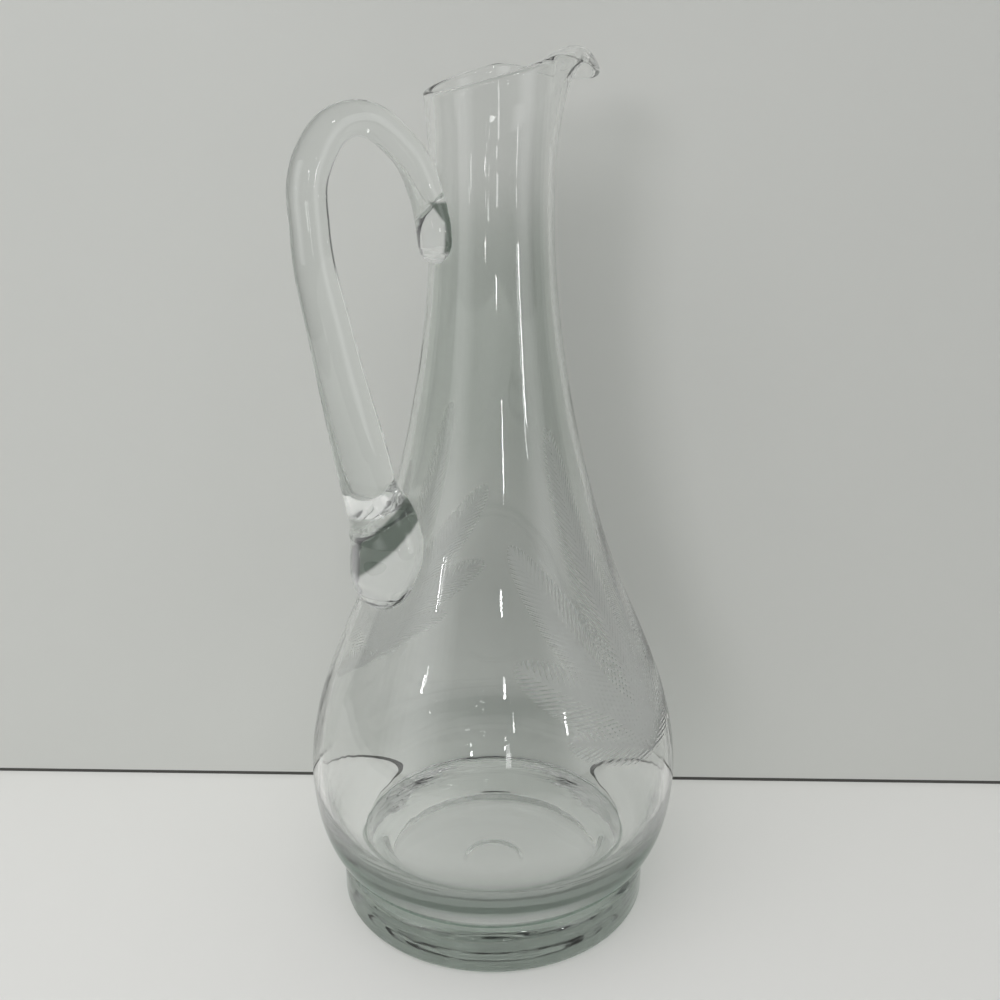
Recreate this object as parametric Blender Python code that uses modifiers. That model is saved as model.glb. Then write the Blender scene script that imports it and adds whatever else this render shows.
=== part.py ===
"""Long neck glass carafe: a blown bottle, the cast foot under it and a drawn handle.

Metres, +Z up. The origin is on the bottle's axis, at the underside of the foot.
+X points from the axis to the pouring lip, and -X to the handle.
"""
from math import atan2, cos, hypot, pi, sin

import bmesh
import bpy
from mathutils import Vector
from mathutils.geometry import interpolate_bezier

# Foot
FOOT_RADIUS = 0.0571
FOOT_HEIGHT = 0.0169
FOOT_EDGE = 0.0024
WELD_RADIUS = 0.0520
WELD_GAP = 0.0003

# Bottle, outside, from the foot up
BOTTLE_SAG = 0.0050
BULB_RADIUS = 0.0672
BULB_RISE = 0.0348
BULB_FULLNESS = 0.0240
SHOULDER_RADIUS = 0.0470
SHOULDER_RISE = 0.0680
SHOULDER_SLOPE = 0.43
SHOULDER_BLEND_BELOW = 0.0250
SHOULDER_BLEND_ABOVE = 0.0350
NECK_RADIUS = 0.0203
NECK_RISE = 0.1320
NECK_BLEND = 0.0450

# Bottle, walls and cavity
NECK_WALL = 0.0022
BULB_WALL = 0.0030
RIM_WALL = 0.0028
CAVITY_FLOOR_RISE = 0.0008
CAVITY_SIDE_BLEND = 0.0240
CAVITY_FLOOR_BLEND = 0.0360
CAVITY_EQUATOR_RISE = 0.0050

# Mouth and pouring lip
MOUTH_FLARE = 0.0032
MOUTH_RISE = 0.0392
MOUTH_TILT = 0.29
MOUTH_BACK_TUCK = 0.0020
LIP_START_RISE = 0.0100
LIP_REACH = 0.0125
LIP_LIFT = 0.0015
LIP_CREST_REACH = 0.0065
LIP_CREST_LIFT = 0.0185
LIP_ROOT_BLEND = 0.0260
LIP_HALF_ANGLE = 1.05

# Handle: each place's rise or drop from the one before, its reach or offset from the wall, its radius
HANDLE_TIP_DROP = 0.0160
HANDLE_TIP_RADIUS = 0.0030
HANDLE_NECK_SEAT_RISE = 0.0080
HANDLE_NECK_SEAT_RADIUS = 0.0056
HANDLE_ROOT_RISE = 0.0120
HANDLE_ROOT_OFFSET = 0.0038
HANDLE_ROOT_RADIUS = 0.0054
HANDLE_RISE_RISE = 0.0145
HANDLE_RISE_REACH = 0.0328
HANDLE_TOP_RISE = 0.0071
HANDLE_TOP_REACH = 0.0485
HANDLE_TOP_RADIUS = 0.0052
HANDLE_BEND_DROP = 0.0116
HANDLE_BEND_REACH = 0.0613
HANDLE_GRIP_DROP = 0.0210
HANDLE_GRIP_REACH = 0.0633
HANDLE_GRIP_RADIUS = 0.0060
HANDLE_DROP_DROP = 0.0310
HANDLE_DROP_REACH = 0.0581
HANDLE_DROP_RADIUS = 0.0070
HANDLE_FALL_DROP = 0.0380
HANDLE_FALL_REACH = 0.0498
HANDLE_FALL_RADIUS = 0.0088
PAD_NECK_DROP = 0.0140
PAD_NECK_REACH = 0.0466
PAD_NECK_RADIUS = 0.0090
PAD_SEAT_DROP = 0.0140
PAD_SEAT_OFFSET = 0.0045
PAD_SEAT_RADIUS = 0.0117
PAD_LOW_DROP = 0.0140
PAD_LOW_OFFSET = 0.0004
PAD_LOW_RADIUS = 0.0106
PAD_TIP_DROP = 0.0120
PAD_TIP_OFFSET = -0.0020
PAD_TIP_RADIUS = 0.0060
PAD_SPREAD = 0.50
PAD_SPREAD_DROP = 0.0080
PAD_SPREAD_REACH = 0.0260
NECK_SPREAD = 0.35
NECK_SPREAD_REACH = 0.0160

# Mesh fineness
TURN_STEPS = 56
ROD_RESOLUTION = 6
ROD_SIDES_QUARTER = 3
MERGE = 0.00001
SHARP_ANGLE = 0.7

# Levels, stacked from the foot up
WELD_LEVEL = FOOT_HEIGHT + WELD_GAP
BULB_LEVEL = WELD_LEVEL + BULB_RISE
SHOULDER_LEVEL = BULB_LEVEL + SHOULDER_RISE
NECK_LEVEL = SHOULDER_LEVEL + NECK_RISE
RIM_LEVEL = NECK_LEVEL + MOUTH_RISE
LIP_START = NECK_LEVEL + LIP_START_RISE
CAVITY_FLOOR = WELD_LEVEL + CAVITY_FLOOR_RISE
CAVITY_EQUATOR = BULB_LEVEL + CAVITY_EQUATOR_RISE
RIM_RADIUS = NECK_RADIUS + MOUTH_FLARE

# Heights along the handle, from its upper end over the bend down to the pad
HANDLE_TIP_HEIGHT = NECK_LEVEL - HANDLE_TIP_DROP
HANDLE_NECK_SEAT_HEIGHT = HANDLE_TIP_HEIGHT + HANDLE_NECK_SEAT_RISE
HANDLE_ROOT_HEIGHT = HANDLE_NECK_SEAT_HEIGHT + HANDLE_ROOT_RISE
HANDLE_RISE_HEIGHT = HANDLE_ROOT_HEIGHT + HANDLE_RISE_RISE
HANDLE_TOP_HEIGHT = HANDLE_RISE_HEIGHT + HANDLE_TOP_RISE
HANDLE_BEND_HEIGHT = HANDLE_TOP_HEIGHT - HANDLE_BEND_DROP
HANDLE_GRIP_HEIGHT = HANDLE_BEND_HEIGHT - HANDLE_GRIP_DROP
HANDLE_DROP_HEIGHT = HANDLE_GRIP_HEIGHT - HANDLE_DROP_DROP
HANDLE_FALL_HEIGHT = HANDLE_DROP_HEIGHT - HANDLE_FALL_DROP
PAD_NECK_HEIGHT = HANDLE_FALL_HEIGHT - PAD_NECK_DROP
PAD_SEAT_HEIGHT = PAD_NECK_HEIGHT - PAD_SEAT_DROP
PAD_LOW_HEIGHT = PAD_SEAT_HEIGHT - PAD_LOW_DROP
PAD_TIP_HEIGHT = PAD_LOW_HEIGHT - PAD_TIP_DROP
PAD_SPREAD_HEIGHT = PAD_SEAT_HEIGHT - PAD_SPREAD_DROP
NECK_SPREAD_HEIGHT = HANDLE_NECK_SEAT_HEIGHT

GLASS_CLEAR = (0.86, 0.90, 0.88, 1.0)
GLASS_THICK = (0.72, 0.80, 0.75, 1.0)
GLASS_ROD = (0.78, 0.85, 0.81, 1.0)


def clear_scene():
    """Remove what the file holds before the model is made."""
    for old in list(bpy.data.objects):
        bpy.data.objects.remove(old, do_unlink=True)


def new_collection(name):
    """A collection of its own for parts or for cutters."""
    collection = bpy.data.collections.new(name)
    bpy.context.scene.collection.children.link(collection)
    return collection


def glass(name, colour):
    """Clear glass with a faint tint."""
    material = bpy.data.materials.new(name)
    material.use_nodes = True
    shader = material.node_tree.nodes["Principled BSDF"]
    shader.inputs["Base Color"].default_value = colour
    shader.inputs["Roughness"].default_value = 0.02
    shader.inputs["Metallic"].default_value = 0.0
    shader.inputs["IOR"].default_value = 1.5
    shader.inputs["Transmission Weight"].default_value = 1.0
    material.diffuse_color = colour
    return material


def smooth_run(start, start_handle, end_handle, end, count):
    """Points (radius, height) of one smooth run after its start, the end included."""
    knots = (Vector(start), Vector(start_handle), Vector(end_handle), Vector(end))
    return [Vector((p[0], p[1])) for p in interpolate_bezier(*knots, count + 1)[1:]]


def weld_height(radius):
    """Height of the bottle's shallow rounded bottom."""
    return WELD_LEVEL - BOTTLE_SAG * (1.0 - (radius / WELD_RADIUS) ** 2)


def flare_radius(height):
    """Outer radius of the mouth, which opens out above the neck's narrowest place."""
    return NECK_RADIUS + MOUTH_FLARE * ((height - NECK_LEVEL) / MOUTH_RISE) ** 2


def flare_wall(height):
    """Wall of the mouth, a little thicker at the rim."""
    return NECK_WALL + (RIM_WALL - NECK_WALL) * (height - NECK_LEVEL) / MOUTH_RISE


def outer_bulb():
    """Outside of the bulb: a quarter ellipse from the weld up to the widest place."""
    count = 7
    points = []
    for step in range(count + 1):
        turn = 0.5 * pi * step / count
        radius = WELD_RADIUS + (BULB_RADIUS - WELD_RADIUS) * sin(turn)
        points.append(Vector((radius, BULB_LEVEL - BULB_RISE * cos(turn))))
    return points


def shoulder_runs(wall_bulb, wall_neck, start_level, count):
    """From the widest place over the shoulder to the neck, moved in by the wall."""
    along = Vector((-SHOULDER_SLOPE, 1.0)).normalized()
    wall_shoulder = 0.5 * (wall_bulb + wall_neck)
    equator = Vector((BULB_RADIUS - wall_bulb, start_level))
    shoulder = Vector((SHOULDER_RADIUS - wall_shoulder, SHOULDER_LEVEL))
    neck = Vector((NECK_RADIUS - wall_neck, NECK_LEVEL))
    lower = smooth_run(equator, equator + Vector((0.0, BULB_FULLNESS)),
                       shoulder - along * SHOULDER_BLEND_BELOW, shoulder, count)
    upper = smooth_run(shoulder, shoulder + along * SHOULDER_BLEND_ABOVE,
                       neck - Vector((0.0, NECK_BLEND)), neck, count)
    return lower + upper


def mouth_heights():
    """Heights of the rings between the neck and the rim."""
    count = 9
    return [NECK_LEVEL + MOUTH_RISE * step / count for step in range(1, count + 1)]


def outer_profile():
    """Outside of the bottle from the weld up to the rim."""
    mouth = [Vector((flare_radius(z), z)) for z in mouth_heights()]
    return outer_bulb() + shoulder_runs(0.0, 0.0, BULB_LEVEL, 7) + mouth


def inner_profile():
    """Inside of the bottle from the cavity's floor up to the rim."""
    equator = (BULB_RADIUS - BULB_WALL, CAVITY_EQUATOR)
    bowl = [Vector((0.0, CAVITY_FLOOR))]
    bowl += smooth_run((0.0, CAVITY_FLOOR), (CAVITY_FLOOR_BLEND, CAVITY_FLOOR),
                       (equator[0], equator[1] - CAVITY_SIDE_BLEND), equator, 8)
    mouth = [Vector((flare_radius(z) - flare_wall(z), z)) for z in mouth_heights()]
    return bowl + shoulder_runs(BULB_WALL, NECK_WALL, CAVITY_EQUATOR, 6) + mouth


def rim_crown():
    """Round top of the rim, from inside to outside."""
    centre = RIM_RADIUS - 0.5 * RIM_WALL
    turns = (0.75 * pi, 0.5 * pi, 0.25 * pi)
    return [Vector((centre + 0.5 * RIM_WALL * cos(t), RIM_LEVEL + 0.5 * RIM_WALL * sin(t))) for t in turns]


def bottle_bottom():
    """Rounded bottom from the weld's edge in to the axis."""
    return [Vector((WELD_RADIUS * share, weld_height(WELD_RADIUS * share))) for share in (0.7, 0.35, 0.0)]


def foot_profile():
    """The foot: dished top, round shoulder, straight side, eased lower edge and flat underside."""
    dish = [Vector((WELD_RADIUS * share, weld_height(WELD_RADIUS * share) - WELD_GAP))
            for share in (0.0, 0.35, 0.7, 1.0)]
    reach = FOOT_RADIUS - WELD_RADIUS
    count = 4
    shoulder = [Vector((WELD_RADIUS + reach * sin(0.5 * pi * k / count),
                        FOOT_HEIGHT - reach * (1.0 - cos(0.5 * pi * k / count)))) for k in range(1, count + 1)]
    edge = [Vector((FOOT_RADIUS - FOOT_EDGE * (1.0 - cos(0.5 * pi * k / count)),
                    FOOT_EDGE * (1.0 - sin(0.5 * pi * k / count)))) for k in range(count + 1)]
    return dish + shoulder + edge + [Vector((0.0, 0.0))]


def turned(name, profile, collection):
    """A profile at +X turned round the axis by a Screw modifier."""
    mesh = bpy.data.meshes.new(name)
    corners = [(p.x, 0.0, p.y) for p in profile]
    mesh.from_pydata(corners, [(i, i + 1) for i in range(len(corners) - 1)], [])
    part = bpy.data.objects.new(name, mesh)
    collection.objects.link(part)
    screw = part.modifiers.new("Turn", 'SCREW')
    screw.axis = 'Z'
    screw.steps = TURN_STEPS
    screw.render_steps = TURN_STEPS
    screw.use_merge_vertices = True
    screw.merge_threshold = MERGE
    screw.use_smooth_shade = True
    return part


def made_mesh(part):
    """The object with its modifiers or its curve made into a plain mesh, with welded seams."""
    bpy.context.view_layer.update()
    depsgraph = bpy.context.evaluated_depsgraph_get()
    mesh = bpy.data.meshes.new_from_object(part.evaluated_get(depsgraph))
    form = bmesh.new()
    form.from_mesh(mesh)
    bmesh.ops.remove_doubles(form, verts=form.verts, dist=MERGE)
    form.to_mesh(mesh)
    form.free()
    name = part.name
    collection = part.users_collection[0]
    bpy.data.objects.remove(part, do_unlink=True)
    mesh.name = name
    made = bpy.data.objects.new(name, mesh)
    collection.objects.link(made)
    return made


def lip_path(share):
    """Outside of the lip in the plane of the spout: place and direction at a share of its length."""
    root = Vector((flare_radius(LIP_START), LIP_START))
    tip = Vector((RIM_RADIUS + LIP_REACH, RIM_LEVEL + LIP_LIFT))
    lead = root + Vector((0.0, LIP_ROOT_BLEND))
    crest = Vector((RIM_RADIUS + LIP_CREST_REACH, RIM_LEVEL + LIP_CREST_LIFT))
    rest = 1.0 - share
    place = (root * rest ** 3 + lead * 3.0 * rest ** 2 * share
             + crest * 3.0 * rest * share ** 2 + tip * share ** 3)
    direction = ((lead - root) * rest ** 2 + (crest - lead) * 2.0 * rest * share
                 + (tip - crest) * share ** 2)
    return place, direction.normalized()


def pulled_mouth(point):
    """Where a point of the turned mouth lies once the rim is tilted and the lip pulled out."""
    if point.z <= LIP_START:
        return point
    radius = hypot(point.x, point.y)
    angle = atan2(point.y, point.x)
    height = min(point.z, RIM_LEVEL)
    share = (height - LIP_START) / (RIM_LEVEL - LIP_START)
    depth = radius - flare_radius(height)
    over_rim = point.z - height
    tilt = MOUTH_TILT * RIM_RADIUS * cos(angle) * share ** 2
    tuck = MOUTH_BACK_TUCK * 0.5 * (1.0 - cos(angle)) * share
    plain = Vector((radius - tuck, point.z + tilt))
    place, direction = lip_path(share)
    lip = place + Vector((direction.y, -direction.x)) * depth + direction * over_rim
    pull = cos(0.5 * pi * min(1.0, abs(angle) / LIP_HALF_ANGLE)) ** 2
    shaped = plain.lerp(lip, pull)
    return Vector((shaped.x * cos(angle), shaped.x * sin(angle), shaped.y))


def wall_radius(height):
    """Outer radius of the bottle at a height, read from its profile."""
    profile = outer_profile()
    for low, high in zip(profile, profile[1:]):
        if low.y <= height <= high.y:
            return low.x + (high.x - low.x) * (height - low.y) / (high.y - low.y)
    return NECK_RADIUS


def make_bottle(collection):
    """The blown bottle, turned and then shaped at the mouth."""
    outside = outer_profile()
    profile = inner_profile() + rim_crown() + outside[::-1] + bottle_bottom()
    bottle = made_mesh(turned("bottle", profile, collection))
    for vertex in bottle.data.vertices:
        vertex.co = pulled_mouth(vertex.co)
    bottle.data.shade_smooth()
    bottle.data.materials.append(glass("glass_clear", GLASS_CLEAR))
    return bottle


def make_foot(collection):
    """The cast foot."""
    foot = turned("foot", foot_profile(), collection)
    foot.data.materials.append(glass("glass_thick", GLASS_THICK))
    return foot


def handle_knots():
    """Distance from the axis, height and radius of the rod from its upper to its lower end."""
    neck_seat = wall_radius(HANDLE_NECK_SEAT_HEIGHT)
    return [
        (wall_radius(HANDLE_TIP_HEIGHT), HANDLE_TIP_HEIGHT, HANDLE_TIP_RADIUS),
        (neck_seat, HANDLE_NECK_SEAT_HEIGHT, HANDLE_NECK_SEAT_RADIUS),
        (wall_radius(HANDLE_ROOT_HEIGHT) + HANDLE_ROOT_OFFSET, HANDLE_ROOT_HEIGHT, HANDLE_ROOT_RADIUS),
        (HANDLE_RISE_REACH, HANDLE_RISE_HEIGHT, HANDLE_TOP_RADIUS),
        (HANDLE_TOP_REACH, HANDLE_TOP_HEIGHT, HANDLE_TOP_RADIUS),
        (HANDLE_BEND_REACH, HANDLE_BEND_HEIGHT, HANDLE_GRIP_RADIUS),
        (HANDLE_GRIP_REACH, HANDLE_GRIP_HEIGHT, HANDLE_GRIP_RADIUS),
        (HANDLE_DROP_REACH, HANDLE_DROP_HEIGHT, HANDLE_DROP_RADIUS),
        (HANDLE_FALL_REACH, HANDLE_FALL_HEIGHT, HANDLE_FALL_RADIUS),
        (PAD_NECK_REACH, PAD_NECK_HEIGHT, PAD_NECK_RADIUS),
        (wall_radius(PAD_SEAT_HEIGHT) + PAD_SEAT_OFFSET, PAD_SEAT_HEIGHT, PAD_SEAT_RADIUS),
        (wall_radius(PAD_LOW_HEIGHT) + PAD_LOW_OFFSET, PAD_LOW_HEIGHT, PAD_LOW_RADIUS),
        (wall_radius(PAD_TIP_HEIGHT) + PAD_TIP_OFFSET, PAD_TIP_HEIGHT, PAD_TIP_RADIUS),
    ]


def make_rod(collection):
    """The bent rod before its ends are pressed on."""
    knots = handle_knots()
    curve = bpy.data.curves.new("handle", 'CURVE')
    curve.dimensions = '3D'
    curve.bevel_depth = 1.0
    curve.bevel_resolution = ROD_SIDES_QUARTER
    curve.use_fill_caps = True
    curve.resolution_u = ROD_RESOLUTION
    curve.render_resolution_u = ROD_RESOLUTION
    spline = curve.splines.new('BEZIER')
    spline.bezier_points.add(len(knots) - 1)
    for knot, (reach, height, radius) in zip(spline.bezier_points, knots):
        knot.co = (-reach, 0.0, height)
        knot.radius = radius
        knot.handle_left_type = 'AUTO'
        knot.handle_right_type = 'AUTO'
    rod = bpy.data.objects.new("handle", curve)
    collection.objects.link(rod)
    return made_mesh(rod)


def pressed_width(point):
    """How much wider the rod is where its two ends were pressed on while soft."""
    width = 1.0
    if hypot(point.x, point.y) > HANDLE_RISE_REACH and point.z > HANDLE_FALL_HEIGHT:
        return width
    for spread, height, reach in ((PAD_SPREAD, PAD_SPREAD_HEIGHT, PAD_SPREAD_REACH),
                                  (NECK_SPREAD, NECK_SPREAD_HEIGHT, NECK_SPREAD_REACH)):
        near = max(0.0, 1.0 - abs(point.z - height) / reach)
        width += spread * near * near * (3.0 - 2.0 * near)
    return width


def make_handle(collection, cutters):
    """The rod with its ends pressed wide and cut to the bottle's wall."""
    handle = make_rod(collection)
    for vertex in handle.data.vertices:
        vertex.co.y *= pressed_width(vertex.co)
    outline = [Vector((p.x + WELD_GAP, p.y)) for p in outer_profile()[::-1]]
    axis_ends = (Vector((0.0, outline[0].y)), Vector((0.0, outline[-1].y)))
    cutter = turned("bottle_cutter", [axis_ends[0], *outline, axis_ends[1]], cutters)
    cutter.hide_render = True
    cutter.display_type = 'WIRE'
    seat = handle.modifiers.new("Seat", 'BOOLEAN')
    seat.operation = 'DIFFERENCE'
    seat.solver = 'EXACT'
    seat.object = cutter
    handle.data.shade_smooth()
    handle.data.set_sharp_from_angle(angle=SHARP_ANGLE)
    handle.data.materials.append(glass("glass_rod", GLASS_ROD))
    return handle


def main():
    """Build the carafe."""
    clear_scene()
    parts = new_collection("long_neck_carafe")
    cutters = new_collection("cutters")
    make_bottle(parts)
    make_foot(parts)
    make_handle(parts, cutters)


main()
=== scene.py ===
"""Long neck glass carafe: the blown bottle, its cast foot and its drawn handle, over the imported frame.

Metres, +Z up, in the frame's own place: the bottle's axis is Z, the lip points to +X, the handle to -X.
"""
from functools import partial
from math import atan2, cos, hypot, pi, radians, sin

import bmesh
import bpy
from bpy.props import FloatProperty, FloatVectorProperty, IntProperty, PointerProperty
from bpy.types import Operator, Panel, PropertyGroup
from mathutils import Matrix, Vector
from mathutils.geometry import interpolate_bezier


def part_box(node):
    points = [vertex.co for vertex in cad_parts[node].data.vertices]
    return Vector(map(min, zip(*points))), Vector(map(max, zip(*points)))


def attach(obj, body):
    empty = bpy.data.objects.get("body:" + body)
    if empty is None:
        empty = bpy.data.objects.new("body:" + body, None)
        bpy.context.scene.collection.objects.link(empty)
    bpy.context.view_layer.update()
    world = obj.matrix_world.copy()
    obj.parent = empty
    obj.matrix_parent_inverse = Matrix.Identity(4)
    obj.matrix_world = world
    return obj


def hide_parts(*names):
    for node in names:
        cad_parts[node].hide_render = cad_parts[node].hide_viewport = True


bl_info = {
    "name": "Long Neck Carafe",
    "version": (1, 0, 0),
    "blender": (4, 5, 0),
    "location": "View3D > Sidebar > Carafe",
    "description": "Makes a blown glass carafe with a cast foot and a drawn handle",
    "category": "Add Mesh",
}

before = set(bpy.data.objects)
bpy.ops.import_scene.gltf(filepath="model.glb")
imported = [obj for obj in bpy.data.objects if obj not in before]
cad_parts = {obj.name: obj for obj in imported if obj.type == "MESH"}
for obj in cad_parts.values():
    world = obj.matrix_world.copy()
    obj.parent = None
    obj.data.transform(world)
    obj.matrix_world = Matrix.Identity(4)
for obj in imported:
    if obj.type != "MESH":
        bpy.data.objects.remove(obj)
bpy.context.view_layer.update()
FOOT_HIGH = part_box("foot")[1]
BOTTLE_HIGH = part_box("bottle")[1]
TINY = 0.000001

# The handle: its radius at the root, and height and reach of the places that were pressed wider
ROOT_RADIUS = 0.0054
PAD_WIDE = (0.1400, 0.0260)
NECK_WIDE = (0.2440, 0.0160)

# The glass: way that its deep tints stand for, and its streaks: number across and along, strength
DEEP_LENGTH = 0.05
BOTTLE_STREAKS = (90.0, 9.0, 0.22)
FOOT_STREAKS = (25.0, 420.0, 0.5)
ROD_STREAKS = (120.0, 12.0, 0.25)
WAVE_HEIGHT = 0.0004
MARKS = 0.02
MARKS_FROM = 0.52

# Painted shade on the foot's side starts at this share of the weld's radius
SIDE_SHADE_START = 0.93

# The painted shade on the bottle's heel: depth of its skin, where it counts as aslant, low and lowest, and
# how strongly shade is painted there
HEEL_SKIN = 0.0010
HEEL_ASLANT = (0.48, 0.82)
HEEL_LOW = (-0.05, 0.50)
HEEL_LOWEST = (0.62, 0.84)
HEEL_FACING = 0.88
HEEL_LOW_LOSS = 0.60

# Painted shade on the neck rises over the shoulder and fades below the mouth
NECK_SHADE_RISE = 0.070
NECK_SHADE_FADE = (0.228, 0.268)

# The band of painted shade across the handle's pad, between 0 and 1 of a slope, below the pad's top and at
# its front
PAD_SLOPE = (68.3, 39.2, 84.4, 15.95)
PAD_BAND_LOW = (-0.06, 0.10)
PAD_BAND_HIGH = (0.90, 1.06)
PAD_TOP = 0.170
PAD_FRONT = (-0.003, 0.001)

# The pressed facet of the handle's upper end, where shade is painted: inner edge, how that edge leans, lower
# and upper end
TIP_EDGE = (-0.0226, -0.0214)
TIP_LEAN_FROM = 0.2475
TIP_LEAN = 0.69
TIP_LOW = (0.2370, 0.2390)
TIP_HIGH = (0.2530, 0.2545)

# The engraved fronds: slant of the barbs, their width at the edge and what they gain inwards
BARB_SLANT = 1.3
BARB_EDGE = 0.30
BARB_GAIN = 0.45
STEM_HALF_WIDTH = 0.00045

# The lamps and the room
AIM = Vector((0.0, 0.0, 0.15))
WALL_LEVEL = 0.45
WALL_AWAY = 1.3
WALL_STEPS = 4
BOUNCES = 32


def length(name, description, default):
    """A size in metres that a user may change."""
    return FloatProperty(name=name, description=description, default=default, unit='LENGTH', precision=5)


def number(name, description, default):
    """A plain number that a user may change."""
    return FloatProperty(name=name, description=description, default=default, precision=4)


def colour(name, description, default):
    """A colour that a user may change."""
    return FloatVectorProperty(name=name, description=description, default=default, size=3,
                               subtype='COLOR', min=0.0, max=1.0)


def turning(name, description, degrees):
    """An angle that a user may change."""
    return FloatProperty(name=name, description=description, default=radians(degrees), subtype='ANGLE')


def rod_place(name, where, default):
    """A place on the rod that a user may change: distance from the axis, height and radius."""
    return FloatVectorProperty(name=name, description=f"{where}: distance from the axis, height, radius",
                               default=default, size=3, unit='LENGTH', precision=5)


class BottleSettings(PropertyGroup):
    """Sizes of the blown bottle."""
    weld_radius: length("Weld radius", "Radius where the bulb is welded to the foot", 0.0520)
    weld_level: length("Weld level", "Height of the weld's edge", FOOT_HIGH.z + 0.0003)
    weld_sag: length("Weld sag", "How far the bottom sags into the foot", 0.0115)
    bulb_radius: length("Bulb radius", "Largest radius of the bulb", BOTTLE_HIGH.y)
    bulb_level: length("Bulb level", "Height of the largest radius", 0.0520)
    bulb_fullness: length("Bulb fullness", "How far the bulb keeps its width upwards", 0.0240)
    shoulder_radius: length("Shoulder radius", "Radius where the bulb turns into the neck", 0.0470)
    shoulder_level: length("Shoulder level", "Height of that place", 0.1200)
    shoulder_slope: number("Shoulder slope", "Radius lost for each unit of height there", 0.43)
    shoulder_below: length("Blend below", "How far the shoulder keeps its slope downwards", 0.0250)
    shoulder_above: length("Blend above", "How far the shoulder keeps its slope upwards", 0.0350)
    neck_radius: length("Neck radius", "Smallest radius of the neck", 0.0203)
    neck_level: length("Neck level", "Height of the smallest radius", 0.2520)
    neck_blend: length("Neck blend", "How far the neck stays upright below that place", 0.0450)
    neck_wall: length("Neck wall", "Thickness of the neck", 0.0022)
    bulb_wall: length("Bulb wall", "Thickness of the bulb at its largest radius", 0.0030)
    rim_wall: length("Rim wall", "Thickness of the rim", 0.0030)
    floor_level: length("Cavity floor", "Height of the cavity's floor", 0.00765)
    floor_flat: length("Floor flat", "Radius of the level part of the cavity's floor", 0.0402)
    floor_blend: length("Floor blend", "How far the floor stays level past that", 0.00125)
    well_radius: length("Well radius", "Radius of the cavity where it opens from the well", 0.0418)
    well_level: length("Well level", "Height of that place", 0.01566)
    well_slope: number("Well slope", "Angle of the cavity's side there, from level", 0.99)
    well_below: length("Well below", "How far the side keeps that slope downwards", 0.00645)
    well_above: length("Well above", "How far the side keeps that slope upwards", 0.00932)
    side_blend: length("Side blend", "How far the cavity's side stays upright", 0.02341)
    cavity_level: length("Cavity level", "Height of the cavity's largest radius", 0.05217)
    mouth_flare: length("Mouth flare", "How much wider the rim is than the neck", 0.0032)
    rim_level: length("Rim level", "Mean height of the rim", 0.2912)
    mouth_tilt: number("Mouth tilt", "Rise of the rim towards the lip", 0.29)
    back_tuck: length("Back tuck", "How far the rim is drawn in beside the handle", 0.0020)
    lip_start: length("Lip start", "Height where the lip starts to pull out", 0.2620)
    lip_reach: length("Lip reach", "How far the lip stands out from the rim", 0.0125)
    lip_lift: length("Lip lift", "Height of the lip's tip over the rim", 0.0015)
    crest_reach: length("Crest reach", "How far out the lip turns over", 0.0065)
    crest_lift: length("Crest lift", "How high the lip turns over", 0.0185)
    lip_root: length("Lip root", "How far the lip stays upright at its root", 0.0260)
    lip_half_angle: number("Lip half angle", "Half of the lip's width round the rim", 1.05)
    turns: IntProperty(name="Turns", description="Faces round the bottle", default=192, min=24)


class FootSettings(PropertyGroup):
    """Sizes of the cast foot."""
    radius: length("Radius", "Radius of the foot", FOOT_HIGH.x)
    height: length("Height", "Height of the foot", FOOT_HIGH.z)
    edge: length("Edge", "Radius of the eased lower edge", 0.0024)
    push_up: length("Push up", "How far the middle of the underside is pushed up", 0.0012)
    push_radius: length("Push radius", "Radius of the pushed up middle", 0.0470)
    push_edge: length("Push edge", "Width of the rounded step round that middle", 0.0080)
    dome: length("Dome", "Extra height of the dome in the middle of the underside", 0.0003)
    scar_radius: length("Scar radius", "Radius of the round scar left by the iron", 0.0127)
    scar_depth: length("Scar depth", "Depth of that scar", 0.0008)


class HandleSettings(PropertyGroup):
    """Sizes of the drawn handle."""
    tip_height: length("Tip height", "Height of the upper end", 0.2345)
    neck_seat_radius: length("Neck seat radius", "Radius of the rod there", 0.0056)
    root_height: length("Root height", "Height where the rod leaves the neck", 0.2560)
    root_offset: length("Root offset", "Distance of the rod's middle from the wall there", 0.0038)
    rise: rod_place("Rise", "On the way up to the bend", (0.0328, 0.2705, 0.0052))
    top: rod_place("Top", "Top of the bend", (0.0485, 0.2776, 0.0052))
    bend: rod_place("Bend", "On the way down from the bend", (0.0613, 0.2660, 0.0060))
    grip: rod_place("Grip", "Widest place of the loop", (0.0633, 0.2450, 0.0060))
    drop: rod_place("Drop", "Upper grip", (0.0581, 0.2140, 0.0070))
    fall: rod_place("Fall", "Lower grip", (0.0498, 0.1760, 0.0088))
    pad_neck: rod_place("Pad neck", "Where the pad begins", (0.0466, 0.1620, 0.0090))
    pad_seat_height: length("Pad seat height", "Height of the thick of the pad", 0.1480)
    pad_seat_offset: length("Pad seat offset", "Distance of its middle from the wall", 0.0045)
    pad_seat_radius: length("Pad seat radius", "Radius of the pad there", 0.0117)
    pad_low_radius: length("Pad low radius", "Radius of the pad there", 0.0106)
    pad_tip_height: length("Pad tip height", "Height of the lower end", 0.1220)
    pad_tip_offset: length("Pad tip offset", "Distance of the end's middle from the wall", -0.0020)
    pad_spread: number("Pad spread", "How much wider the pad is than it is thick", 0.50)
    neck_spread: number("Neck spread", "How much wider the upper end is than it is thick", 0.35)
    wall_gap: length("Wall gap", "Gap between the handle and the bottle's wall", 0.00005)


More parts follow.
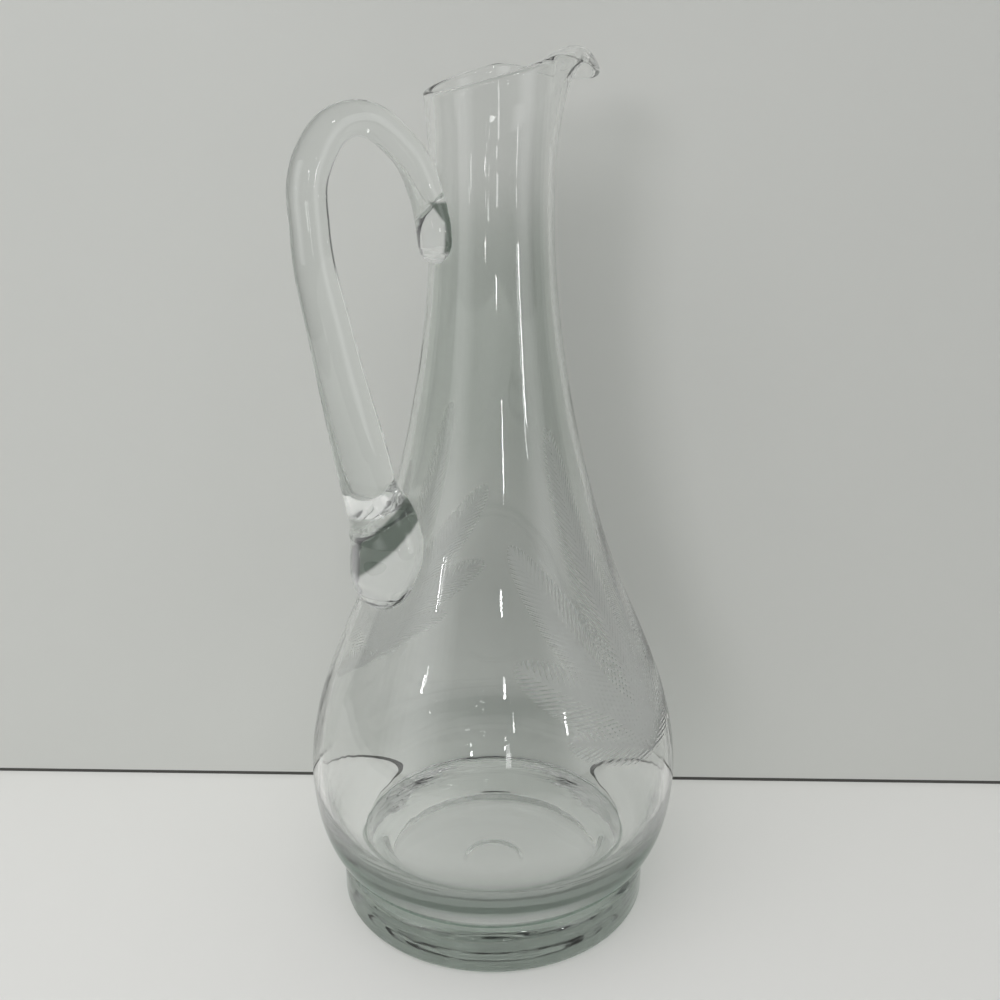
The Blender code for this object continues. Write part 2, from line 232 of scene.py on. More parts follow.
class GlassSettings(PropertyGroup):
    """Looks of the glass."""
    clear: colour("Bottle", "Tint of the bottle's glass", (0.985, 0.990, 0.986))
    deep: colour("Deep glass", "Tint that five centimetres of glass give to light", (0.92, 0.955, 0.93))
    rod_deep: colour("Deep rod", "Tint that five centimetres of the rod give to light", (0.70, 0.75, 0.72))
    # heel: painted shade, a dark colour laid on light that enters the outside of the thick heel
    heel: colour("Heel", "Tint of light that enters the thick heel", (0.015, 0.055, 0.030))
    # neck: painted shade on each wall of the neck
    neck: colour("Neck", "Tint of light that enters one wall of the neck", (0.77, 0.80, 0.775))
    # side: painted shade on the foot's round side
    side: colour("Foot side", "Tint of light that enters the foot's side", (0.30, 0.36, 0.32))
    # Painted shade on a band across the handle's pad and on a facet of its upper end
    seam: colour("Seams", "Tint of light that enters where the handle was pressed on", (0.06, 0.08, 0.065))
    thick: colour("Foot", "Tint of the thick glass of the foot", (0.975, 0.985, 0.978))
    rod: colour("Handle", "Tint of the handle's glass", (0.980, 0.988, 0.983))
    clear_passing: colour("Bottle passing", "Lamp light through one wall of the bulb", (0.993, 0.996, 0.994))
    neck_passing: colour("Neck passing", "Lamp light through one wall of the neck", (0.72, 0.735, 0.725))
    thick_passing: colour("Foot passing", "Lamp light through one face of the foot", (0.965, 0.975, 0.968))
    rod_passing: colour("Handle passing", "Lamp light through one face of the rod", (0.92, 0.93, 0.925))
    ior: number("IOR", "How strongly the glass bends light", 1.50)
    frost: number("Frost", "Roughness of the engraved sprays", 0.60)


class StageSettings(PropertyGroup):
    """Camera, floor and light."""
    turn: turning("Turn", "How far the handle is turned to the camera", 32.0)
    yaw: turning("Yaw", "How far the camera looks past the axis", 0.4017)
    pitch: turning("Pitch", "How far the camera looks down", 17.259)
    distance: length("Distance", "Distance of the camera from the axis", 0.36095)
    height: length("Height", "Height of the camera", 0.26454)
    lens: number("Lens", "Focal length on a 36 mm sensor", 38.82)
    wall_distance: length("Wall distance", "Distance of the backdrop behind the axis", 0.0686)
    wall_width: length("Wall width", "Width of the backdrop", 0.56)
    wall_height: length("Wall height", "Height of the backdrop", 0.42)
    floor_width: length("Floor width", "Width of the floor", 1.10)
    wall_turn: turning("Wall turn", "How far the backdrop is turned to the camera", -1.8)
    # A dark strip of painted shadow where the backdrop meets the floor
    shadow_strip_height: length("Joint height", "Height of the shaded joint between backdrop and floor", 0.0016)
    shadow_strip_colour: colour("Joint", "Colour of that joint", (0.06, 0.06, 0.055))
    floor_colour: colour("Floor", "Colour of the floor", (0.70, 0.70, 0.68))
    wall_colour: colour("Wall", "Colour of the backdrop", (0.58, 0.59, 0.565))
    sky_low: number("Low room light", "Brightness of the room low down", 0.10)
    sky_high: number("High room light", "Brightness of the room overhead", 0.55)
    veil: number("Veil", "Brightness of the room's walls in the glass", 1.7)
    key_power: number("Key", "Power of the large lamp overhead in watts", 10.5)
    window_power: number("Window", "Power of the large lamp in front on the left in watts", 3.6)


def smooth_run(start, start_handle, end_handle, end, count):
    """Points (radius, height) of one smooth run after its start, the end included."""
    run = interpolate_bezier(start, start_handle, end_handle, end, count + 1)
    return [Vector(point[:2]) for point in run[1:]]


def weld_height(bottle, radius):
    """Height of the bottle's rounded bottom where it is welded to the foot."""
    return bottle.weld_level - bottle.weld_sag * (1.0 - (radius / bottle.weld_radius) ** 8)


def flare_radius(bottle, height):
    """Outer radius of the mouth, which opens out above the neck's narrowest place."""
    rise = (height - bottle.neck_level) / (bottle.rim_level - bottle.neck_level)
    return bottle.neck_radius + bottle.mouth_flare * rise ** 2


def flare_wall(bottle, height):
    """Wall of the mouth, a little thicker at the rim."""
    rise = (height - bottle.neck_level) / (bottle.rim_level - bottle.neck_level)
    return bottle.neck_wall + (bottle.rim_wall - bottle.neck_wall) * rise


def shoulder_runs(bottle, wall_bulb, wall_neck, start_level, count):
    """From the widest place over the shoulder to the neck, moved in by the wall."""
    along = Vector((-bottle.shoulder_slope, 1.0)).normalized()
    equator = Vector((bottle.bulb_radius - wall_bulb, start_level))
    shoulder = Vector((bottle.shoulder_radius - 0.5 * (wall_bulb + wall_neck), bottle.shoulder_level))
    neck = Vector((bottle.neck_radius - wall_neck, bottle.neck_level))
    lower = smooth_run(equator, equator + Vector((0.0, bottle.bulb_fullness)),
                       shoulder - along * bottle.shoulder_below, shoulder, count)
    upper = smooth_run(shoulder, shoulder + along * bottle.shoulder_above,
                       neck - Vector((0.0, bottle.neck_blend)), neck, count)
    return lower + upper


def mouth_heights(bottle):
    """Heights of the rings between the neck and the rim."""
    count = 44
    rise = bottle.rim_level - bottle.neck_level
    return [bottle.neck_level + rise * k / count for k in range(1, count + 1)]


def outer_profile(bottle):
    """Outside of the bottle from the weld up to the rim."""
    count = 30
    reach = bottle.bulb_radius - bottle.weld_radius
    rise = bottle.bulb_level - bottle.weld_level
    turns = [0.5 * pi * k / count for k in range(count + 1)]
    bulb = [Vector((bottle.weld_radius + reach * sin(t), bottle.bulb_level - rise * cos(t))) for t in turns]
    mouth = [Vector((flare_radius(bottle, z), z)) for z in mouth_heights(bottle)]
    return bulb + shoulder_runs(bottle, 0.0, 0.0, bottle.bulb_level, 40) + mouth


def inner_profile(bottle):
    """Inside of the bottle from the cavity's floor up to the rim."""
    floor = Vector((0.0, bottle.floor_level))
    side = Vector((bottle.bulb_radius - bottle.bulb_wall, bottle.cavity_level))
    upright = Vector((0.0, bottle.side_blend))
    ring = Vector((bottle.floor_flat, bottle.floor_level))
    level = Vector((bottle.floor_blend, 0.0))
    well = Vector((bottle.well_radius, bottle.well_level))
    slope = Vector((cos(bottle.well_slope), sin(bottle.well_slope)))
    third = 0.3 * (ring - floor)
    bowl = [floor] + smooth_run(floor, floor + third, ring - third, ring, 10)
    bowl += smooth_run(ring, ring + level, well - slope * bottle.well_below, well, 24)
    bowl += smooth_run(well, well + slope * bottle.well_above, side - upright, side, 32)
    mouth = [Vector((flare_radius(bottle, z) - flare_wall(bottle, z), z)) for z in mouth_heights(bottle)]
    return bowl + shoulder_runs(bottle, bottle.bulb_wall, bottle.neck_wall, bottle.cavity_level, 36) + mouth


def rim_crown(bottle):
    """Round top of the rim, from inside to outside."""
    half = 0.5 * bottle.rim_wall
    centre = bottle.neck_radius + bottle.mouth_flare - half
    count = 8
    turns = [pi * (1.0 - k / count) for k in range(1, count)]
    return [Vector((centre + half * cos(t), bottle.rim_level + half * sin(t))) for t in turns]


def bottle_bottom(bottle):
    """Rounded bottom from the weld's edge in to the axis."""
    count = 12
    radii = [bottle.weld_radius * (1.0 - k / count) for k in range(1, count + 1)]
    return [Vector((r, weld_height(bottle, r))) for r in radii]


def eased(share):
    """A share between 0 and 1 that starts and ends smoothly."""
    return share * share * (3.0 - 2.0 * share)


def foot_profile(bottle, foot):
    """The foot: dished top, round shoulder, straight side, eased lower edge and pushed up underside."""
    count = 12
    radii = [bottle.weld_radius * k / count for k in range(count + 1)]
    gap = bottle.weld_level - foot.height
    dish = [Vector((r, weld_height(bottle, r) - gap)) for r in radii]
    reach = foot.radius - bottle.weld_radius
    turns = [0.5 * pi * k / count for k in range(count + 1)]
    shoulder = [Vector((bottle.weld_radius + reach * sin(t), foot.height - reach * (1.0 - cos(t))))
                for t in turns[1:]]
    edge = [Vector((foot.radius - foot.edge * (1.0 - cos(t)), foot.edge * (1.0 - sin(t)))) for t in turns]
    shares = [k / count for k in range(count + 1)]
    step = [Vector((foot.push_radius - foot.push_edge * s, foot.push_up * eased(s))) for s in shares]
    flat = foot.push_radius - foot.push_edge
    fine = 40
    shares = [k / fine for k in range(1, fine + 1)]
    under = [Vector((flat * (1.0 - s), foot.push_up + foot.dome * eased(s))) for s in shares]
    for point in under:
        into = min(max(4.0 * (1.0 - point.x / foot.scar_radius), 0.0), 1.0)
        point.y += foot.scar_depth * eased(into)
    return dish + shoulder + edge + step + under


def placed(name, data):
    """A new object in the scene, with this mesh, curve, lamp or camera."""
    item = bpy.data.objects.new(name, data)
    bpy.context.scene.collection.objects.link(item)
    return item


def as_object(name, form):
    """An object at the origin with this mesh."""
    mesh = bpy.data.meshes.new(name)
    form.to_mesh(mesh)
    form.free()
    return placed(name, mesh)


def finished(name, form):
    """A smooth object with this mesh, its doubles merged and its faces outwards."""
    bmesh.ops.remove_doubles(form, verts=form.verts, dist=TINY)
    bmesh.ops.recalc_face_normals(form, faces=form.faces)
    piece = as_object(name, form)
    piece.data.shade_smooth()
    return piece


def spun(profile, turns):
    """A bmesh of a profile at +X spun round the axis."""
    form = bmesh.new()
    chain = [form.verts.new((p.x, 0.0, p.y)) for p in profile]
    links = [form.edges.new(pair) for pair in zip(chain, chain[1:])]
    bmesh.ops.spin(form, geom=chain + links, cent=(0.0, 0.0, 0.0), axis=(0.0, 0.0, 1.0),
                   angle=2.0 * pi, steps=turns, use_merge=True)
    return form


def lip_path(bottle, share):
    """Outside of the lip in the plane of the spout: place and direction at a share of its length."""
    rim = bottle.neck_radius + bottle.mouth_flare
    root = Vector((flare_radius(bottle, bottle.lip_start), bottle.lip_start))
    lead = root + Vector((0.0, bottle.lip_root))
    crest = Vector((rim + bottle.crest_reach, bottle.rim_level + bottle.crest_lift))
    tip = Vector((rim + bottle.lip_reach, bottle.rim_level + bottle.lip_lift))
    rest = 1.0 - share
    place = (root * rest ** 3 + lead * 3.0 * rest ** 2 * share
             + crest * 3.0 * rest * share ** 2 + tip * share ** 3)
    direction = ((lead - root) * rest ** 2 + (crest - lead) * 2.0 * rest * share
                 + (tip - crest) * share ** 2)
    return place, direction.normalized()


def pulled_mouth(bottle, point):
    """Where a point of the spun mouth lies once the rim is tilted and the lip pulled out."""
    if point.z <= bottle.lip_start:
        return point
    radius = hypot(point.x, point.y)
    angle = atan2(point.y, point.x)
    height = min(point.z, bottle.rim_level)
    share = (height - bottle.lip_start) / (bottle.rim_level - bottle.lip_start)
    depth = radius - flare_radius(bottle, height)
    over_rim = point.z - height
    rim = bottle.neck_radius + bottle.mouth_flare
    tilt = bottle.mouth_tilt * rim * cos(angle) * share ** 2
    tuck = bottle.back_tuck * 0.5 * (1.0 - cos(angle)) * share
    plain = Vector((radius - tuck, point.z + tilt))
    place, direction = lip_path(bottle, share)
    lip = place + Vector((direction.y, -direction.x)) * depth + direction * over_rim
    pull = cos(0.5 * pi * min(1.0, abs(angle) / bottle.lip_half_angle)) ** 2
    shaped = plain.lerp(lip, pull)
    return Vector((shaped.x * cos(angle), shaped.x * sin(angle), shaped.y))


def wall_radius(wall, height):
    """Outer radius of the bottle at a height, read from its outside profile."""
    for low, high in zip(wall, wall[1:]):
        if low.y <= height <= high.y:
            return low.x + (high.x - low.x) * (height - low.y) / (high.y - low.y)
    return wall[-1].x


def new_material(name):
    """An empty node material and its tree."""
    material = bpy.data.materials.new(name)
    material.use_nodes = True
    material.node_tree.nodes.clear()
    return material, material.node_tree


def solid(tint):
    """A colour with its alpha."""
    return (*tint, 1.0)


def add_node(tree, kind, inputs=None, **settings):
    """A new node. Each input is a socket or a plain value, and the settings are the node's own."""
    node = tree.nodes.new(kind)
    for name, value in settings.items():
        setattr(node, name, value)
    for name, value in (inputs or {}).items():
        if isinstance(value, bpy.types.NodeSocket):
            tree.links.new(value, node.inputs[name])
        else:
            node.inputs[name].default_value = value
    return node


def group_shell(name, values, outputs):
    """A shader node group with a vector and these numbers as inputs, and these numbers as outputs."""
    tree = bpy.data.node_groups.new(name, 'ShaderNodeTree')
    tree.interface.new_socket("Vector", in_out='INPUT', socket_type='NodeSocketVector')
    for label, default in values.items():
        socket = tree.interface.new_socket(label, in_out='INPUT', socket_type='NodeSocketFloat')
        socket.default_value = default
    for label in outputs:
        tree.interface.new_socket(label, in_out='OUTPUT', socket_type='NodeSocketFloat')
    return tree, tree.nodes.new('NodeGroupInput'), tree.nodes.new('NodeGroupOutput')


def math_node(tree, operation, *values):
    """A Math node; each value is a socket or a number. Returns its output."""
    return add_node(tree, 'ShaderNodeMath', dict(enumerate(values)), operation=operation).outputs[0]


def blown_streaks_group():
    """Waviness of drawn and blown glass: long faint streaks along Z, and a trace of handling marks."""
    name = "Blown streaks"
    if name in bpy.data.node_groups:
        return bpy.data.node_groups[name]
    across, along, _ = BOTTLE_STREAKS
    tree, start, end = group_shell(name, {"Across": across, "Along": along, "Marks": MARKS},
                                   ("Height", "Roughness"))
    place = start.outputs["Vector"]
    across = start.outputs["Across"]
    stretch = add_node(tree, 'ShaderNodeCombineXYZ', {"X": across, "Y": across, "Z": start.outputs["Along"]})
    scaled = add_node(tree, 'ShaderNodeVectorMath', {0: place, 1: stretch.outputs[0]}, operation='MULTIPLY')
    wave = add_node(tree, 'ShaderNodeTexNoise', {"Scale": 1.0, "Detail": 2.0, "Vector": scaled.outputs[0]})
    tree.links.new(wave.outputs["Fac"], end.inputs["Height"])
    smear = add_node(tree, 'ShaderNodeTexNoise', {"Scale": 38.0, "Detail": 4.0, "Vector": place})
    above = math_node(tree, 'MAXIMUM', math_node(tree, 'SUBTRACT', smear.outputs["Fac"], MARKS_FROM), 0.0)
    tree.links.new(math_node(tree, 'MULTIPLY', above, start.outputs["Marks"]), end.inputs["Roughness"])
    return tree


def frond_group():
    """One engraved frond in its own plane: a bent stem along +X with slanting barbs, as a mask."""
    name = "Engraved frond"
    if name in bpy.data.node_groups:
        return bpy.data.node_groups[name]
    sizes = {"Length": 0.06, "Width": 0.008, "Bend": 3.0, "Pitch": 0.0022}
    tree, start, end = group_shell(name, sizes, ("Mask",))
    calc = partial(math_node, tree)
    split = add_node(tree, 'ShaderNodeSeparateXYZ', {0: start.outputs["Vector"]})
    along = split.outputs["X"]
    bow = calc('MULTIPLY', calc('MULTIPLY', along, along), start.outputs["Bend"])
    aside = calc('ABSOLUTE', calc('SUBTRACT', split.outputs["Y"], bow))
    share = calc('DIVIDE', along, start.outputs["Length"])
    inside = calc('MULTIPLY', calc('GREATER_THAN', share, 0.0), calc('LESS_THAN', share, 1.0))
    belly = calc('MAXIMUM', calc('MULTIPLY', share, calc('SUBTRACT', 1.0, share)), 0.0)
    half = calc('MULTIPLY', calc('SQRT', belly), calc('MULTIPLY', start.outputs["Width"], 2.0))
    blade = calc('LESS_THAN', aside, half)
    slant = calc('SUBTRACT', along, calc('MULTIPLY', aside, BARB_SLANT))
    barb = calc('FRACT', calc('DIVIDE', slant, start.outputs["Pitch"]))
    inner = calc('SUBTRACT', 1.0, calc('DIVIDE', aside, half))
    thin = calc('ADD', BARB_EDGE, calc('MULTIPLY', BARB_GAIN, inner))
    barbs = calc('MULTIPLY', blade, calc('LESS_THAN', barb, thin))
    stem = calc('LESS_THAN', aside, STEM_HALF_WIDTH)
    tree.links.new(calc('MULTIPLY', inside, calc('MAXIMUM', barbs, stem)), end.inputs["Mask"])
    return tree


def end_with_clear(tree, share, surface, passing):
    """Joins a surface to the output, and gives way to clear passing light as far as a share says."""
    clear = add_node(tree, 'ShaderNodeBsdfTransparent', {"Color": passing})
    mix = add_node(tree, 'ShaderNodeMixShader', {0: share, 1: surface.outputs[0], 2: clear.outputs[0]})
    add_node(tree, 'ShaderNodeOutputMaterial', {"Surface": mix.outputs[0]})


def let_lamps_through(tree, surface, passing):
    """Joins a glass surface to the output so that lamps shine through it in shadow rays."""
    path = add_node(tree, 'ShaderNodeLightPath')
    end_with_clear(tree, path.outputs["Is Shadow Ray"], surface, passing)


def tinted(tree, share, first, second):
    """A colour multiplied by another as far as a share says."""
    return add_node(tree, 'ShaderNodeMix', {"Factor": share, "A": first, "B": second},
                    data_type='RGBA', blend_type='MULTIPLY').outputs["Result"]


def start_glass(name, tint, deep, ior):
    """A glass whose tint deepens with the way of the light through it: material, tree and surface."""
    material, tree = new_material(name)
    path = add_node(tree, 'ShaderNodeLightPath')
    side = add_node(tree, 'ShaderNodeNewGeometry')
    way = math_node(tree, 'MULTIPLY', path.outputs["Ray Length"], side.outputs["Backfacing"])
    share = math_node(tree, 'DIVIDE', way, DEEP_LENGTH)
    left = add_node(tree, 'ShaderNodeCombineColor')
    for channel, part in zip(left.inputs, deep):
        tree.links.new(math_node(tree, 'POWER', part, share), channel)
    surface = add_node(tree, 'ShaderNodeBsdfPrincipled', {
        "Base Color": solid(tint), "Metallic": 0.0, "Roughness": 0.0, "IOR": ior, "Transmission Weight": 1.0})
    tree.links.new(tinted(tree, 1.0, solid(tint), left.outputs["Color"]), surface.inputs["Base Color"])
    return material, tree, surface


def paint_shade_on_entry(tree, surface, mask, tint):
    """Paints shade into the colour of light that enters the glass where the mask is one."""
    before = surface.inputs["Base Color"].links[0].from_socket
    side = add_node(tree, 'ShaderNodeNewGeometry')
    entering = math_node(tree, 'SUBTRACT', 1.0, side.outputs["Backfacing"])
    result = tinted(tree, math_node(tree, 'MULTIPLY', mask, entering), before, solid(tint))
    tree.links.new(result, surface.inputs["Base Color"])


def soft_step(tree, value, low, high):
    """Rises smoothly from 0 to 1 while a value goes from low to high."""
    return add_node(tree, 'ShaderNodeMapRange', {"From Min": low, "From Max": high, "Value": value},
                    interpolation_type='SMOOTHSTEP').outputs["Result"]


def soft_drop(tree, value, low, high):
    """Falls smoothly from 1 to 0 while a value goes from low to high."""
    return math_node(tree, 'SUBTRACT', 1.0, soft_step(tree, value, low, high))


def product(tree, first, *others):
    """Several values multiplied together."""
    for other in others:
        first = math_node(tree, 'MULTIPLY', first, other)
    return first


def place_parts(tree):
    """X, Y and Z of the shaded place, and its distance from the axis."""
    place = add_node(tree, 'ShaderNodeTexCoord')
    x, y, z = add_node(tree, 'ShaderNodeSeparateXYZ', {0: place.outputs["Object"]}).outputs
    square = math_node(tree, 'ADD', product(tree, x, x), product(tree, y, y))
    return x, y, z, math_node(tree, 'SQRT', square)


def heel_shade_mask(tree, bottle):
    """One on the outside of the bottle's heel, where dark shade is painted: full where it is seen aslant,
    less where it faces the eye.
    """
    calc = partial(math_node, tree)
    _, _, z, reach = place_parts(tree)
    view = add_node(tree, 'ShaderNodeLayerWeight', {"Blend": 0.5})
    aslant = soft_step(tree, view.outputs["Facing"], *HEEL_ASLANT)
    below = calc('DIVIDE', calc('SUBTRACT', bottle.bulb_level, z), bottle.bulb_level - bottle.weld_level)
    left = calc('MAXIMUM', calc('SUBTRACT', 1.0, calc('POWER', below, 2.0)), 0.0)
    swell = calc('MULTIPLY', calc('SQRT', left), bottle.bulb_radius - bottle.weld_radius)
    outer = calc('GREATER_THAN', reach, calc('ADD', swell, bottle.weld_radius - HEEL_SKIN))
    lowest = soft_step(tree, below, *HEEL_LOWEST)
    facing = calc('SUBTRACT', HEEL_FACING, calc('MULTIPLY', lowest, HEEL_LOW_LOSS))
    share = calc('ADD', aslant, calc('MULTIPLY', facing, calc('SUBTRACT', 1.0, aslant)))
    return product(tree, outer, soft_step(tree, below, *HEEL_LOW), share)


def pad_and_tip_shade_mask(tree):
    """One on a band across the handle's pad and on a facet of its upper end, where shade is painted; both
    ends were pressed on while soft.
    """
    calc = partial(math_node, tree)
    x, y, z, _ = place_parts(tree)
    ahead, beside, upward, start = PAD_SLOPE
    slope = calc('SUBTRACT', calc('MULTIPLY', x, ahead), calc('MULTIPLY', y, beside))
    across = calc('ADD', calc('SUBTRACT', slope, calc('MULTIPLY', z, upward)), start)
    band = product(tree, soft_step(tree, across, *PAD_BAND_LOW), soft_drop(tree, across, *PAD_BAND_HIGH),
                   calc('LESS_THAN', z, PAD_TOP), soft_drop(tree, y, *PAD_FRONT))
    over = calc('MAXIMUM', calc('SUBTRACT', z, TIP_LEAN_FROM), 0.0)
    inward = calc('ADD', x, calc('MULTIPLY', over, TIP_LEAN))
    tip = product(tree, soft_step(tree, inward, *TIP_EDGE), soft_step(tree, z, *TIP_LOW),
                  soft_drop(tree, z, *TIP_HIGH), calc('LESS_THAN', y, 0.0))
    return calc('MAXIMUM', band, tip)


def add_streaks(tree, surface, across, along, strength):
    """Adds the waviness and the handling marks to a glass surface. Returns the roughness socket."""
    place = add_node(tree, 'ShaderNodeTexCoord').outputs["Object"]
    streaks = add_node(tree, 'ShaderNodeGroup',
                       {"Across": across, "Along": along, "Marks": MARKS, "Vector": place},
                       node_tree=blown_streaks_group())
    bump = add_node(tree, 'ShaderNodeBump',
                    {"Strength": strength, "Distance": WAVE_HEIGHT, "Height": streaks.outputs["Height"]})
    tree.links.new(bump.outputs["Normal"], surface.inputs["Normal"])
    tree.links.new(streaks.outputs["Roughness"], surface.inputs["Roughness"])
    return streaks.outputs["Roughness"]


def foot_glass(glass, bottle):
    """Thick cast glass of the foot."""
    material, tree, surface = start_glass("glass_thick_cast", glass.thick, glass.deep, glass.ior)
    reach = place_parts(tree)[3]
    # Painted shade on the foot's round side
    side_shade = soft_step(tree, reach, SIDE_SHADE_START * bottle.weld_radius, bottle.weld_radius)
    paint_shade_on_entry(tree, surface, side_shade, glass.side)
    add_streaks(tree, surface, *FOOT_STREAKS)
    let_lamps_through(tree, surface, solid(glass.thick_passing))
    return material


def rod_glass(glass):
    """Drawn glass of the handle."""
    material, tree, surface = start_glass("glass_rod_drawn", glass.rod, glass.rod_deep, glass.ior)
    # Painted shade on the pad's band and on the upper end's facet
    paint_shade_on_entry(tree, surface, pad_and_tip_shade_mask(tree), glass.seam)
    add_streaks(tree, surface, *ROD_STREAKS)
    let_lamps_through(tree, surface, solid(glass.rod_passing))
    return material


def weld_material():
    """The inside of a weld: nothing shows there, because the glass is one mass."""
    material, tree = new_material("weld")
    clear = add_node(tree, 'ShaderNodeBsdfTransparent')
    add_node(tree, 'ShaderNodeOutputMaterial', {"Surface": clear.outputs[0]})
    return material


def spray_layout():
    """The sprays: place round the bottle, height, turn, length, width and bend of each frond."""
    fronds = []
    for side in (-1.12, 1.95):
        for lean, reach in ((-0.72, 0.052), (-0.40, 0.080), (-0.10, 0.106), (0.20, 0.092), (0.54, 0.060)):
            fronds.append((side, 0.078, 0.5 * pi - lean, reach, 0.0082, -4.0 * lean))
        for lean, reach in ((-0.95, 0.030), (0.95, 0.032)):
            fronds.append((side, 0.074, 0.5 * pi - lean, reach, 0.0060, -6.0 * lean))
    return fronds


def spray_mask(tree, bottle):
    """One on the engraved sprays, laid round the bottle as on a sheet."""
    x, y, z, _ = place_parts(tree)
    turn = math_node(tree, 'ARCTAN2', y, x)
    sheet = add_node(tree, 'ShaderNodeCombineXYZ',
                     {"X": math_node(tree, 'MULTIPLY', turn, bottle.shoulder_radius), "Y": z})
    mask = None
    for side, height, lean, reach, width, bend in spray_layout():
        lay = add_node(tree, 'ShaderNodeMapping', {
            "Location": (side * bottle.shoulder_radius, height, 0.0), "Rotation": (0.0, 0.0, lean),
            "Vector": sheet.outputs[0]}, vector_type='TEXTURE')
        frond = add_node(tree, 'ShaderNodeGroup',
                         {"Length": reach, "Width": width, "Bend": bend, "Vector": lay.outputs[0]},
                         node_tree=frond_group())
        found = frond.outputs["Mask"]
        mask = found if mask is None else math_node(tree, 'MAXIMUM', mask, found)
    return mask


def engraved_glass(glass, bottle):
    """Clear glass of the bottle with frosted sprays cut into its outside."""
    material, tree, surface = start_glass("glass_clear_engraved", glass.clear, glass.deep, glass.ior)
    # Painted shade on the outside of the heel
    paint_shade_on_entry(tree, surface, heel_shade_mask(tree, bottle), glass.heel)
    level = place_parts(tree)[2]
    # Painted shade on the neck, between the shoulder and the mouth
    neck = product(tree, soft_step(tree, level, bottle.shoulder_level, bottle.shoulder_level + NECK_SHADE_RISE),
                   soft_drop(tree, level, *NECK_SHADE_FADE))
    paint_shade_on_entry(tree, surface, neck, glass.neck)
    marks = add_streaks(tree, surface, *BOTTLE_STREAKS)
    frost = math_node(tree, 'MULTIPLY', spray_mask(tree, bottle), glass.frost)
    tree.links.new(math_node(tree, 'ADD', frost, marks), surface.inputs["Roughness"])
    passing = add_node(tree, 'ShaderNodeMix', {
        "Factor": soft_step(tree, level, bottle.bulb_level, bottle.shoulder_level),
        "A": solid(glass.clear_passing), "B": solid(glass.neck_passing)}, data_type='RGBA')
    let_lamps_through(tree, surface, passing.outputs["Result"])
    return material


def mark_weld(bottle, mesh, gap):
    """Gives the second material to the faces that lie on the weld, or this gap below it."""
    def on_weld(point):
        reach = hypot(point.x, point.y)
        level = weld_height(bottle, reach) - gap
        return reach < bottle.weld_radius + TINY and abs(point.z - level) < 10.0 * TINY
    for face in mesh.polygons:
        welded = all(on_weld(mesh.vertices[corner].co) for corner in face.vertices)
        face.material_index = 1 if welded else 0


def settle(piece, node):
    """The piece rides on the part and stands for its CAD node, which is hidden."""
    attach(piece, "root")
    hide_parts(node)


class CARAFE_OT_bottle(Operator):
    """Make the blown bottle with its pulled lip and engraved sprays"""
    bl_idname = "carafe.make_bottle"
    bl_label = "Make Bottle"

    def execute(self, context):
        bottle = context.scene.carafe_bottle
        glass = context.scene.carafe_glass
        inside = inner_profile(bottle) + rim_crown(bottle)
        form = spun(inside + outer_profile(bottle)[::-1] + bottle_bottom(bottle), bottle.turns)
        for corner in form.verts:
            corner.co = pulled_mouth(bottle, corner.co)
        piece = finished("bottle_glass", form)
        piece.data.materials.append(engraved_glass(glass, bottle))
        piece.data.materials.append(weld_material())
        mark_weld(bottle, piece.data, 0.0)
        settle(piece, "bottle")
        return {'FINISHED'}


class CARAFE_OT_foot(Operator):
    """Make the cast foot"""
    bl_idname = "carafe.make_foot"
    bl_label = "Make Foot"

    def execute(self, context):
        bottle = context.scene.carafe_bottle
        foot = context.scene.carafe_foot
        glass = context.scene.carafe_glass
        form = spun(foot_profile(bottle, foot), bottle.turns)
        piece = finished("foot_glass", form)
        piece.data.materials.append(foot_glass(glass, bottle))
        piece.data.materials.append(bpy.data.materials["weld"])
        mark_weld(bottle, piece.data, bottle.weld_level - foot.height)
        settle(piece, "foot")
        return {'FINISHED'}


def handle_knots(wall_profile, handle):
    """Distance from the axis, height and radius of the rod from its upper to its lower end."""
    wall = partial(wall_radius, wall_profile)
    root = wall(handle.root_height)
    seat = wall(handle.pad_seat_height) + handle.pad_seat_offset
    upper = rounded_end((wall(handle.tip_height), handle.tip_height), (root, handle.root_height),
                        handle.neck_seat_radius)
    lower = rounded_end((wall(handle.pad_tip_height) + handle.pad_tip_offset, handle.pad_tip_height),
                        (seat, handle.pad_seat_height), handle.pad_low_radius)
    return [
        *upper[::-1],
        (root + handle.root_offset, handle.root_height, ROOT_RADIUS),
        handle.rise,
        handle.top,
        handle.bend,
        handle.grip,
        handle.drop,
        handle.fall,
        handle.pad_neck,
        (seat, handle.pad_seat_height, handle.pad_seat_radius),
        *lower,
    ]


def rounded_end(tip, inner, radius):
    """Knots that close one end of the rod in a round, from the full radius out to the tip."""
    outward = (Vector(tip) - Vector(inner)).normalized()
    centre = Vector(tip) - outward * radius
    turns = (0.0, 0.45, 0.80, 1.10, 1.33, 1.50)
    places = [centre + outward * radius * sin(turn) for turn in turns]
    return [(place.x, place.y, radius * cos(turn)) for place, turn in zip(places, turns)]


